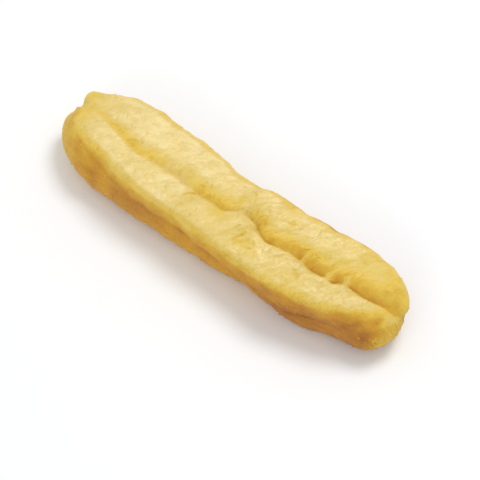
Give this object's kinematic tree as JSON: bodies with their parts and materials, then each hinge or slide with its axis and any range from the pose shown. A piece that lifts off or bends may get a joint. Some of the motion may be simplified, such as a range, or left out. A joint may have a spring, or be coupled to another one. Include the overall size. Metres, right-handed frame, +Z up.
{
  "type": "fried dough stick",
  "caption": "Long golden deep-fried dough stick, or youtiao: puffed strands joined side by side along a wavy groove, pale on top and browned along the side seams.",
  "frame": {"origin": "under the middle of the stick's box, on the surface it lies on", "axes": "+X along the stick toward its blunt end, -Y toward the front strand, +Z up"},
  "size_m": [0.2192, 0.054, 0.0354],
  "materials": {
    "fried_dough": "dry crust with a slight oily sheen"
  },
  "bodies": {
    "root": {"dough_stick": "fried_dough"}
  },
  "joints": []
}
